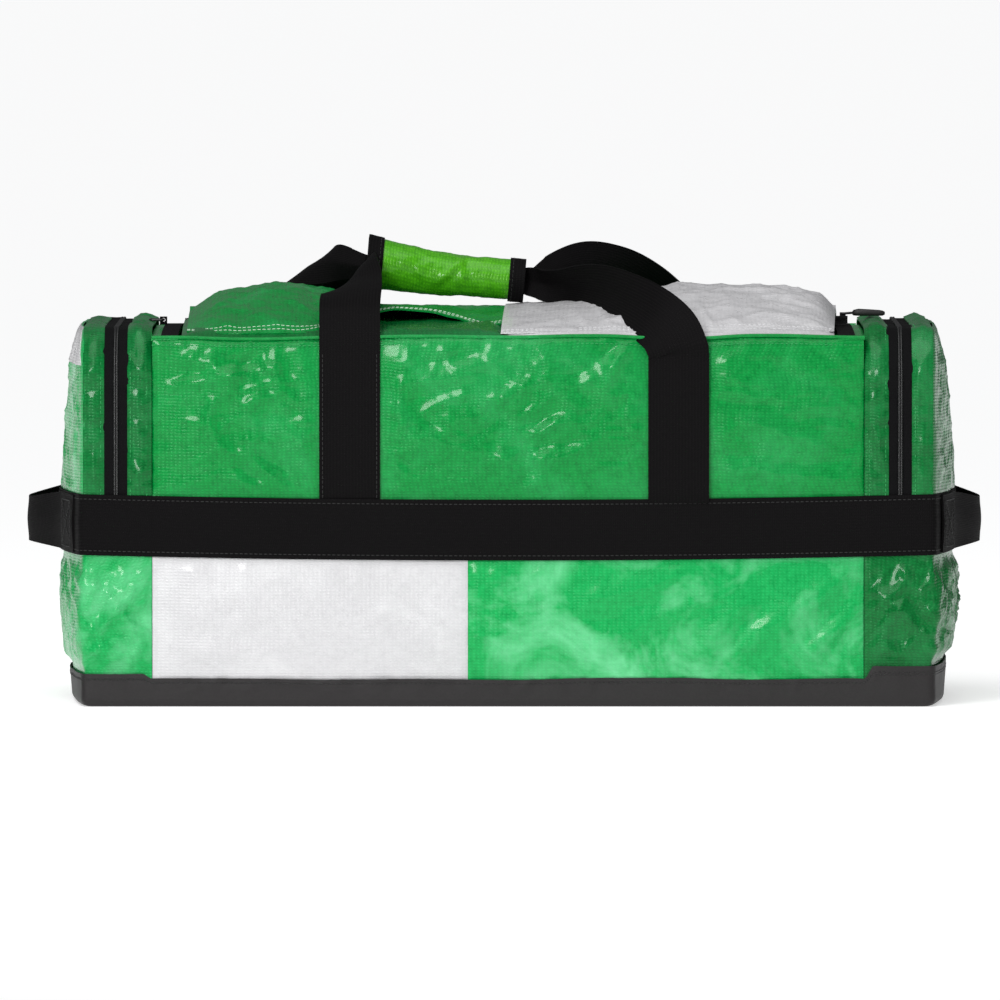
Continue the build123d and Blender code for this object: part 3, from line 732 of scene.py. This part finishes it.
for hand, side in hands.items():
    bag, flap = "bag", f"{hand}_flap"
    seed = 120 + 20 * side
    foot = beltHigh - 1
    # the gussets take the darker copy of the green, painted shade
    dress(archSheet(f"{hand}GussetInner", side, bodyHalf, tapeNear + 1.5, foot, 2.4, 4.6, seed, 1.3,
                    tarpShadedGreen),
          bag, "green_tarp", f"{hand}_gusset_inner")
    dress(archSheet(f"{hand}ZipTapeInner", side, tapeNear, coilNear + 0.2, foot, 0.0, 0.0, seed + 1, 1.0,
                    zipTape, -0.6, 5),
          bag, "zip_tape", f"{hand}_zip_inner")
    dress(archSheet(f"{hand}ZipTapeOuter", side, coilFar - 0.2, tapeFar, flapFoot, 0.0, 0.0, seed + 2,
                    1.0, zipTape, -0.6, 5),
          flap, "zip_tape", f"{hand}_flap_zip")
    dress(archSheet(f"{hand}GussetOuter", side, tapeFar - 1.5, endSeam + 1.0, flapFoot, 1.6, 3.4,
                    seed + 3, 1.3, tarpShadedGreen),
          flap, "green_tarp", f"{hand}_flap_gusset")
    path, away = archPath(foot + 2)
    path = path + np.stack([path[:, 0] * 0, 2.8 * smoothStep(path[:, 1], pocketTop - 20, pocketTop)],
                           axis=1)
    middle = side * (coilNear + coilFar) / 2
    for body, x in ((bag, middle - side * 0.95), (flap, middle + side * 0.95)):
        line = np.concatenate([np.full((len(path), 1), x), path + away * -0.1], axis=1)
        dress(coilMesh(f"{hand}Coil{'Outer' if body == flap else 'Inner'}", line, coilNylon, radius=1.25),
              body, "zip_tape")
    awayThree = np.concatenate([np.zeros((len(path), 1)), away], axis=1)
    for body, x in ((bag, tapeNear - 1.0), (bag, bodyHalf + 4), (flap, tapeFar + 1.4)):
        line = np.concatenate([np.full((len(path), 1), side * x), path + away * 0.6], axis=1)
        stitch(body, threadGreen, line, awayThree)

    # the end panel that opens, bowed out most at its foot
    z = np.linspace(flapFoot, pocketTop - 0.2, 60)
    above = np.maximum(z - (pocketTop - cornerRadius), 0)
    reach = wallDepth - cornerRadius + np.sqrt(np.maximum(cornerRadius ** 2 - above ** 2, 0))
    t = np.linspace(-1, 1, 130)
    across, level = np.meshgrid(t, z)
    y = across * reach[:, None]
    edge = np.minimum(np.minimum((1 - np.abs(across)) * reach[:, None], pocketTop - level),
                      (level - flapFoot) * 3)
    free = smoothStep(edge, 0, 18)
    out = bowAt(level) * (1 - np.abs(across) ** 2.2) + 1.0 + 3.0 * free * (crumple(y, level, 38,
            seed + 30) + 0.5 * crumple(y, level, 15, seed + 33))
    out += edgeRoll(np.minimum((1 - np.abs(across)) * reach[:, None], pocketTop - level)) + gathers(y
            + level, edge, seed + 34)
    points = np.stack([side * (endSeam + 1.0 + out), y,
                       level + 3.0 * smoothStep(level, pocketTop - 24, pocketTop)], axis=2)
    if side < 0:
        points = points[:, ::-1]
    # the right end panel takes the darker copy of the green as painted shade, the left the paler green as
    # painted light
    dress(clothPiece(f"{hand}EndFlap", points, 1.3, tarpShadedGreen if hand == "right" else tarpLower), flap,
          "green_tarp", f"{hand}_flap_panel")
    if hand == "left":
        check = (slice(47, 60), slice(66, 128))
        patch = points[check] + [-0.8, 0, 0]
        dress(clothPiece("leftEndCheck", patch, 0.7, tarpWhite), flap, "white_tarp")

    # green strip and cross tape that close the top between lid and pocket
    y = np.linspace(-wallDepth, wallDepth, 130)
    arch = seamTop + 2 + 4 * (1 - (y / wallDepth) ** 2)
    for label, near, far, lift, thick, material, node in (
            ("TopEnd", lidHalf + 3, bodyHalf + 0.5, 0.0, 1.3, tarpUpper, "top_end"),
            ("CrossTape", lidHalf + 3, lidHalf + 17, 1.7, 1.4, webbing, "cross_tape")):
        x = np.linspace(near, far, 9)
        grid, across = np.meshgrid(y, x, indexing="ij")
        z = arch[:, None] + lift + 1.2 * (smoothNoise(grid, across, 30,
                seed + 40) - 0.5) * (label == "TopEnd") - 0.2
        points = np.stack([side * across, grid, z], axis=2)
        if side < 0:
            points = points[:, ::-1]
        dress(clothPiece(f"{hand}{label}", points, thick, material), bag,
              "webbing" if material is webbing else "green_tarp", f"{hand}_{node}")
print("end pockets made")


# the lid's arch from seam to zip
def lidHeight(y):
    return lidLow + (trackTop - lidLow) * (1 - (y / wallDepth) ** 2)


tapeHalf = edges("lid_zip_rear")[1][1]


def lidSheet(name, x0, x1, y0, y1, seed, material, depth=1.6, puff=2.5):
    x, y = np.meshgrid(np.linspace(x0, x1, int((x1 - x0) / 3)),
                       np.linspace(y0, y1, int(abs(y1 - y0) / 3)), indexing="xy")
    edge = np.minimum(np.minimum(x - x0, x1 - x), np.minimum(np.abs(y - y0), np.abs(y1 - y)))
    free = smoothStep(edge, 0, 14)
    z = lidHeight(y) + seamWave(x) * smoothStep(np.abs(y), 110, 168) + puff * free
    z += free * depth * (crumple(x, y, 30, seed)
                         + 0.8 * creased(x, y * 0.25, 13, seed + 2)) - 1.0 * np.exp(-(edge / 3) ** 2)
    return clothPiece(name, np.stack([x, y, z], axis=2), 1.3, material)


# the front lid half lies under the storm flap; its green is the darker copy, painted shade
dress(lidSheet("lidFrontGreen", -lidHalf, lidSplit, -lidHinge, -tapeHalf + 2, 201, tarpShadedGreen),
      "lid_front", "green_tarp", "lid_front_green")
dress(lidSheet("lidFrontWhite", lidSplit, lidHalf, -lidHinge, -tapeHalf + 2, 203, tarpWhite), "lid_front",
      "white_tarp", "lid_front_white")
dress(lidSheet("lidRear", -lidHalf, lidHalf, tapeHalf - 2, lidHinge, 207, tarpUpper, 2.2, 3.5),
      "lid_rear", "green_tarp", "lid_rear_panel")
for label, body, sign in (("Front", "lid_front", -1), ("Rear", "lid_rear", 1)):
    x = np.linspace(-lidHalf, lidHalf, 120)
    y = np.sort(sign * np.linspace(0.9, tapeHalf, 5))
    gx, gy = np.meshgrid(x, y)
    dress(clothPiece(f"zipTape{label}", np.stack([gx, gy, lidHeight(gy) - 0.9], axis=2), 1.0, zipTape),
          body, "zip_tape", f"lid_zip_{label.lower()}")
    line = np.stack([x, np.full_like(x, sign * 1.05), np.full_like(x, trackTop - 0.9)], axis=1)
    dress(coilMesh(f"coil{label}", line, coilNylon, radius=1.35), body, "zip_tape")

# storm flap over the zip, standing up in two humps
flapLook = {"ribs": 2.2, "crumple": 5.0}
rearEdge = 64.0
crownAt = -22.0
greenCrown = [(-266, 319), (-255, 327), (-238, 336), (-190, 344), (-152, 339), (-124, 330), (-105, 326.5),
              (-60, 325.4), (0, 325.2)]
whiteCrown = [(-5, 325), (30, 326.5), (60, 330), (100, 337), (140, 341.5), (200, 340), (244, 337),
              (262, 331), (269, 318)]
greenHem = [(-266, -150, 306.5), (-235, -162, 306.0), (-165, -163, 306.5), (-145, -148, 312),
            (-118, -112, 320),
            (-92, -94, 325.5), (-60, -88, 322.5), (-42, -96, 318), (-19, -112, 309.5), (-8, -104,
                    312), (4, -96, 314)]
whiteHem = [(-6, -166, 306.0), (40, -164, 306.8), (120, -163, 306.4), (200, -162, 306.8),
            (250, -160, 306.5), (269, -150, 306.0)]


# the slider and its pull run beneath the flap, so it keeps this height over the zip
zipRoof = edges("main_pull")[1][2] + 4.5


def flapSheet(name, crown, hem, x0, x1, seed, material, slope=0.0):
    crown, hem = np.array(crown, float), np.array(hem, float)
    cols = int((x1 - x0) / 2.2)
    x = np.linspace(x0, x1, cols)
    top = soften(np.interp(x, crown[:, 0], crown[:, 1])[:, None], 12)[:, 0]
    hemY = soften(np.interp(x, hem[:, 0], hem[:, 1])[:, None], 14)[:, 0]
    hemZ = soften(np.interp(x, hem[:, 0], hem[:, 2])[:, None], 14)[:, 0]
    s = np.linspace(1, 0, 92)[:, None]
    y = rearEdge + (hemY - rearEdge) * s
    rearZ = lidHeight(rearEdge) + 1.6
    base = rearZ + (hemZ - rearZ) * s
    where = (rearEdge - crownAt) / (rearEdge - hemY)
    power = math.log(0.5) / np.log(where)
    lowest = rearZ + (hemZ - rearZ) * where
    z = base + (top - lowest) * np.sin(np.pi * np.clip(s, 0, 1) ** power) ** 0.82
    gx = np.broadcast_to(x, z.shape)
    edge = np.minimum(np.minimum(gx - x0, x1 - gx), np.minimum(s, 1 - s) * 180)
    free = smoothStep(edge, 0, 16)
    hump = smoothStep(np.broadcast_to(top, z.shape), 326, 338)
    z = z + free * flapLook["crumple"] * (0.35 + 0.65 * hump) * (crumple(gx, y, 44, seed)
            + 0.4 * crumple(gx, y, 18, seed + 4))
    z += free * flapLook["ribs"] * (0.3 + 0.7
                                    * hump) * (creased(gx + 0.12 * y, y * 0.16, 17, seed + 7) - 0.4)
    z += gathers(gx, s * 0 + (1 - s) * 180, seed + 8, 12, 0.8, 12)
    z = np.maximum(z, lidHeight(y) + 1.5 + 0 * gx)
    z = np.maximum(z, zipRoof - 0.025 * y ** 2 + 0 * gx)
    gx = gx + slope * (1 - s) * 60
    points = np.stack([gx, np.broadcast_to(y, z.shape), z], axis=2)
    return clothPiece(name, points, 1.3, material), points


# rows run from hem to rear edge so that the outer skin faces up
greenFlap, greenPoints = flapSheet("stormFlapGreen", greenCrown, greenHem, -264, 4, 231, tarpUpper)
dress(greenFlap, "lid_rear", "green_tarp", "storm_flap_green")
whiteFlap, whitePoints = flapSheet("stormFlapWhite", whiteCrown, whiteHem, -6, 268, 241, tarpWhite, 0.1)
whiteFlap.location.z += 0.9 * mm
dress(whiteFlap, "lid_rear", "white_tarp", "storm_flap_white")
for points, thread, lift in ((greenPoints, threadPale, 0.0), (whitePoints, threadWhite, 0.9)):
    for row in (2, 4, -3):
        stitch("lid_rear", thread, points[row] + [0, 0, lift], (0, -0.5, 0.85))

# green piping along the top seams
for label, side in (("front", -1), ("rear", 1)):
    x = np.linspace(-bodyHalf, bodyHalf, 240)
    line = np.stack([x, np.full_like(x, side * (wallDepth - 0.4)), seamTop + 2.6 + seamWave(x)], axis=1)
    dress(tubeMesh(f"{label}Piping", line, 1.5, tarpUpper, 10), "bag", "green_tarp")
    line[:, 2] -= 6.5
    line[:, 1] = side * (wallDepth + 0.6)
    stitch("bag", threadGreen, line, (0, side, 0.2), 0.4)
print("lid and storm flap made")


# webbing handles, sloping at the grip as they hang
gripLow, gripHigh = edges("grip_bindings")
gripMiddle = (gripLow + gripHigh) / 2
tilt = math.radians(4.84)
gripRun = np.array([math.cos(tilt), 0, -math.sin(tilt)])
gripTop = gripMiddle[2]


def gripPoint(x, y):
    return x, y, gripTop - (x - gripMiddle[0]) * math.tan(tilt)


# webbing through stations of (x, y, z, across x, across y, across z, width); narrow stations are
# folded lengthwise
def strap(name, stations, material, thick=2.0, full=50.0):
    rows = throughStations(stations, 3.0)
    centre, across, width = rows[:, :3], rows[:, 3:6], np.clip(rows[:, 6], 10, full)
    run = np.gradient(centre, axis=0)
    run /= np.linalg.norm(run, axis=1, keepdims=True)
    across = across - run * np.sum(across * run, axis=1, keepdims=True)
    across /= np.linalg.norm(across, axis=1, keepdims=True)
    normal = np.cross(run, across)
    q = np.linspace(-1, 1, 19)
    bent = np.sqrt(np.maximum(1 - (width / full) ** 2, 0)) * np.where(width < 26, 0.24, 0.36)
    depth = bent[:, None] * full / 2 * (np.sqrt(q ** 2 + 0.02) - 0.14)
    along = np.concatenate([[0], np.cumsum(np.linalg.norm(np.diff(centre, axis=0), axis=1))])
    ripple = 0.5 * (smoothNoise(along[:, None] + 0 * q, q * 12 + 0 * along[:, None], 26, 311) - 0.5)
    points = centre[:, None] + across[:, None] * (q * width[:, None] / 2)[:, :, None] + normal[:,
            None] * (depth + ripple)[:, :, None]
    layout = np.stack(np.broadcast_arrays(along[:, None], q * full / 2), axis=2)
    return clothPiece(name, points, thick, material, layout=layout), points


def legStations(side, leg, heights):
    x = np.array([leg] * len(heights))
    z = np.array(heights, float)
    y = side * (wallDepth + 2.4 + upperPuff(x, z) * 0.8 + waves(x, z, 5 + side))
    y = y - side * 3.0 * (1 - smoothStep(z, beltHigh - 8, beltHigh + 4))
    return [(a, b, c, 1, 0, 0, 50) for a, b, c in zip(x, y, z)]


heights = (162, 168, 176, 190, 215, 245, 270, 290)
frontStations = legStations(-1, -130, heights) + [
    (-130, -172.6, 304, 1, 0, 0, 50), (-130, -167, 318, 1, 0, 0.0, 50), (-130, -156, 331, 1, 0, 0.0, 50),
    (-129, -128, 341, 1, 0, 0.12, 50), (-127, -84, 349, 0.95, 0, 0.4, 46), (-124, -44, 357, 0.55, 0, 0.85,
            36),
    (*gripPoint(-117, -10), 0, 0, 1, 26), (*gripPoint(-106, -5), 0, 0, 1, 22), (*gripPoint(-51, -4.4), 0,
            0, 1, 22),
    (*gripPoint(8, -4.4), 0, 0, 1, 22), (*gripPoint(20, -7), 0, 0, 1, 24), (36, -14, 342.5, 0.1, -0.25,
            0.96, 28),
    (56, -34, 342.5, 0.3, -0.7, 0.65, 34), (76, -72, 339.5, 0.45, -0.75, 0.45, 42), (98, -122, 332, 0.6,
            -0.45, 0.65, 46),
    (117, -158, 322, 0.72, -0.15, 0.68, 49), (132, -172.5, 309, 0.9, 0, 0.42, 50),
    (139, -175.5, 295, 1, 0, 0.1, 50)] + legStations(-1, 140, heights[:0:-1])
rearStations = legStations(1, -130, heights) + [
    (-130, 172.6, 304, 1, 0, 0, 50), (-133, 165, 318, 1, 0, 0, 50), (-150, 138, 338, 1, 0, 0.1, 50),
    (-167, 98, 350, 0.92, 0, 0.35, 47), (-165, 60, 357, 0.8, 0, 0.6, 42), (-147, 28, 361, 0.35, 0, 0.92,
            32),
    (*gripPoint(-121, 10), 0, 0, 1, 20),
    (*gripPoint(-106, 4.8), 0, 0, 1, 16), (*gripPoint(8, 4.6), 0, 0, 1, 16), (*gripPoint(22, 8), 0, 0, 1,
            18),
    (42, 24, 354, 0, 0.2, 0.98, 28), (66, 54, 359, 0.3, 0.2, 0.9, 34), (90, 88, 352, 0.65, 0, 0.7, 40),
    (112, 124, 338, 0.9, 0, 0.35, 48), (130, 152, 324, 1, 0, 0.1, 50), (140, 166, 314, 1, 0, 0, 50),
    (140, 172.6, 304, 1, 0, 0, 50)] + legStations(1, 140, heights[::-1])
for label, side, stations in (("front", -1, frontStations), ("rear", 1, rearStations)):
    if side > 0:
        stations = stations[::-1]
    piece, points = strap(f"{label}Handle", stations, webbing)
    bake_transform(piece)
    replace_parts(piece, f"{label}_handle_legs", f"{label}_handle_strap")
    for leg in legs:
        near = [k for k in range(len(points)) if abs(points[k, 9, 0] - leg) < 3 and points[k, 9,
                2] < seamTop - 6 and points[k, 9, 2] > beltHigh]
        for column in (1, 17):
            stitch("bag", threadBlack, points[near, column], (0, side, 0))

# grip wrap: padded cloth closed round both straps, open to the rear, with bound ends
mouth = math.radians(38)


def gripSheet(name, start, end, radius, thick, material, seed, depth):
    a = np.linspace(start, end, max(int((end - start) / 2), 5))
    turn = np.linspace(mouth, math.tau - mouth, 64)
    ga, gt = np.meshgrid(a, turn, indexing="ij")
    r = radius + gripSwell * np.clip(-ga / gripHalf, -0.2,
                                     1) + depth * (crumple(ga, gt * 18, 22, seed)
                                             + 0.5 * crumple(ga, gt * 18, 10, seed + 2))
    r += depth * 0.7 * laidCreases(ga, gt * 18,
                                   [(-8, 66, 14, 38, 3.2, 1.6), (14, 66, 10, 38, 3.0, 1.4),
                                    (-40, 60, -30, 42, 4, 0.8)])
    centre = gripMiddle + ga[..., None] * gripRun + [0, 0,
            1] * (5.0 * np.clip(-ga / gripHalf, 0, 1) ** 1.5)[..., None]
    up = np.cross(gripRun, [0, 1, 0])
    points = centre + r[..., None] * (np.cos(gt)[..., None] * np.array([0, 1, 0])
                                      + np.sin(gt)[..., None] * up)
    return clothPiece(name, points, thick, material), points


bound = 13.0
gripSwell = 4.0               # the wrap is fatter at its left end, where the straps bunch
gripHalf = (gripHigh[0] - gripLow[0]) / 2 / math.cos(tilt) - 1.5
wrapSheet = gripSheet("gripWrap", -gripHalf + bound - 3, gripHalf - bound + 3, 17.4, 2.6,
                                  tarpLime, 401, 1.5)[0]
dress(wrapSheet, "front_handle", "lime_tarp", "grip_wrap")
# the CAD has both bindings in one node, so the left piece replaces it for both
for label, start, row, nodes in (("Left", -gripHalf - 1, -2, ["grip_bindings"]),
                                 ("Right", gripHalf - bound, 1, [])):
    piece, points = gripSheet(f"gripBinding{label}", start, start + bound, 19.0, 2.4, webbing, 407, 0.3)
    dress(piece, "front_handle", "webbing", *nodes)
    stitch("front_handle", threadBlack, points[row], points[row] - gripMiddle)

# grab handles: webbing sewn flat over the belt with boxed crosses, bowed out in the middle
for hand, side in hands.items():
    reach = edges(f"{hand}_grab_handle")[1 if side > 0 else 0][0] * side
    y = np.linspace(-152, 152, 125)
    belt = endSeam + 3.2 + (endReach - endSeam - 1.4) * (1 - (y / (wallDepth + 1.6)) ** 2) + 2.6
    loose = smoothStep(94 - np.abs(y), 0, 78)
    extra = 6 if hand == "left" else 0
    x = belt + loose * (reach + extra - belt.max())
    t = np.linspace(0, 1, 15)
    gy, gt = np.meshgrid(y, t, indexing="ij")
    gx = np.broadcast_to(x[:, None], gy.shape) - 0.6 * np.cos(gt * math.tau)
    gz = beltLow + 1.5 + (beltHigh - beltLow - 3) * (0.5
            + (gt - 0.5) * (1 - 0.22 * loose[:, None])) + dips(gx)
    points = np.stack([side * gx, gy, gz - 2 * loose[:, None]], axis=2)
    if side > 0:
        points = points[:, ::-1]
    dress(clothPiece(f"{hand}GrabHandle", points, 2.0, webbing), "bag", "webbing", f"{hand}_grab_handle")
    for face in (-1, 1):
        box = []
        corners = [(102, 6), (146, 6), (146, 44), (102, 44), (102, 6), (146, 44), (102, 44), (146, 6)]
        for (ya, za), (yb, zb) in zip(corners[:-1], corners[1:]):
            for k in np.linspace(0, 1, 12, endpoint=False):
                sewn = face * (ya + (yb - ya) * k)
                box.append((side * (np.interp(sewn, y, x) + 0.7), sewn, beltLow + za + (zb - za) * k + 3))
        stitch("bag", threadBlack, box, (side, face * 0.15, 0), 0.25)
print("handles made")


# small hardware keeps its CAD shape
def finishNode(node, material, bevel=0.0):
    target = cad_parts[node]
    target.data.materials.clear()
    target.data.materials.append(material)
    if bevel:
        edge = target.modifiers.new("edge", "BEVEL")
        edge.width = bevel * mm
        edge.segments = 2
        edge.limit_method = "ANGLE"
        edge.harden_normals = False


finishNode("main_slider", sliderPaint, 0.35)
pullLow, pullHigh = edges("main_pull")
tipX, rootX, pullZ = pullHigh[0], pullLow[0], (pullLow[2] + pullHigh[2]) / 2
dress(blockMesh("mainPull", [
    (rootX + 9, 0, pullZ + 0.6, 2.2, 1.4), (rootX + 10, 0, pullZ + 0.9, 3.6, 2.4), (rootX + 14, 0,
            pullZ + 1.2, 4.4, 3.0),
    (rootX + 22, 0, pullZ + 1.0, 4.0, 2.8), (rootX + 31, 0, pullZ + 0.7, 3.4, 2.5), (tipX - 2, 0,
            pullZ + 0.5, 3.0, 2.2),
    (tipX, 0, pullZ + 0.5, 1.8, 1.2)], pullRubber), "top_pull", "pull_rubber", "main_pull")
frameLoop = [(rootX, -2.6, pullZ), (rootX + 9, -2.6, pullZ + 0.8), (rootX + 12, 0, pullZ + 0.8),
             (rootX + 9, 2.6, pullZ + 0.8), (rootX, 2.6, pullZ)]
dress(tubeMesh("mainPullFrame", soften(resample(frameLoop, 0.8), 3), 0.95, sliderPaint, 8), "top_pull",
      "zip_metal")
finishNode("end_ring", ringNylon)
finishNode("ring_tab", webbing, 0.5)
finishNode("base_board", boardPlastic, 0.5)
for hand in hands:
    finishNode(f"{hand}_pocket_slider", sliderPaint, 0.35)
    finishNode(f"{hand}_pocket_pull", pullRubber, 0.4)
    finishNode(f"{hand}_divider", linerCloth)
sewThreads()
print("hardware and threads made")

# floor, light and camera
stageLook = {
    "floor": "#eeeeee",
    "glow": 0.50,             # the paper's own light
    "world": 0.19,
    "sun": 1.35,
    "top": 8.0,               # W
    "key": 46.0,
    "fill": 4.0,
}
floorReach = 110.0            # m, far enough that a low long lens never sees past the paper
ring = [(floorReach * math.cos(a), floorReach * math.sin(a), 0.0) for a in np.linspace(0, math.tau, 64,
        endpoint=False)]
mesh = bpy.data.meshes.new("studioFloor")
mesh.from_pydata(ring, [], [tuple(range(64))])
studioFloor = bpy.data.objects.new("studioFloor", mesh)
bpy.context.scene.collection.objects.link(studioFloor)
# matt paper with a little glow, so that the floor stays pale out to the frame's edge
mesh.materials.append(startMaterial("studioPaper", **{
    "Base Color": hexColour(stageLook["floor"]), "Roughness": 0.9,
    "Emission Color": (1, 1, 1, 1), "Emission Strength": stageLook["glow"]})[0])


def softLight(name, place, aim, size, power):
    data = bpy.data.lights.new(name, "AREA")
    data.shape = "RECTANGLE"
    data.size, data.size_y = size
    data.energy = power
    light = bpy.data.objects.new(name, data)
    light.location = place
    light.rotation_euler = (Vector(aim) - Vector(place)).to_track_quat("-Z", "Y").to_euler()
    bpy.context.scene.collection.objects.link(light)


softLight("topBox", (0, -0.3, 2.3), (0, 0, 0.2), (2.4, 1.6), stageLook["top"])
softLight("keyBox", (-0.9, -3.0, 1.3), (0, 0, 0.2), (0.75, 0.75), stageLook["key"])
softLight("fillBox", (1.6, -2.4, 1.0), (0, 0, 0.2), (1.0, 1.4), stageLook["fill"])

sunData = bpy.data.lights.new("ceiling", "SUN")
sunData.energy = stageLook["sun"]
sunData.angle = 0.9
ceiling = bpy.data.objects.new("ceiling", sunData)
ceiling.rotation_euler = Vector((0.15, 0.55, -1.0)).to_track_quat("-Z", "Y").to_euler()
bpy.context.scene.collection.objects.link(ceiling)

world = bpy.data.worlds.new("studio")
bpy.context.scene.world = world
world.use_nodes = True
world.node_tree.nodes["Background"].inputs["Color"].default_value = hexColour("#f4f6f8")
world.node_tree.nodes["Background"].inputs["Strength"].default_value = stageLook["world"]
bpy.context.scene.view_settings.view_transform = "Standard"

cameraLook = {
    "lens": 614,              # mm, long enough that the end pockets show as flat as they do
    "distance": 14.0,         # m
    "elevation": 2.3,         # degrees
}
data = bpy.data.cameras.new("camera")
data.lens = cameraLook["lens"]
data.sensor_width = 36
data.clip_end = 300
camera = bpy.data.objects.new("camera", data)
bpy.context.scene.collection.objects.link(camera)
aim = Vector((-0.0066, -wallDepth * mm, 0.170))
elevation = math.radians(cameraLook["elevation"])
camera.location = aim + cameraLook["distance"] * Vector((0, -math.cos(elevation), math.sin(elevation)))
camera.rotation_euler = (aim - camera.location).to_track_quat("-Z", "Y").to_euler()
bpy.context.scene.camera = camera
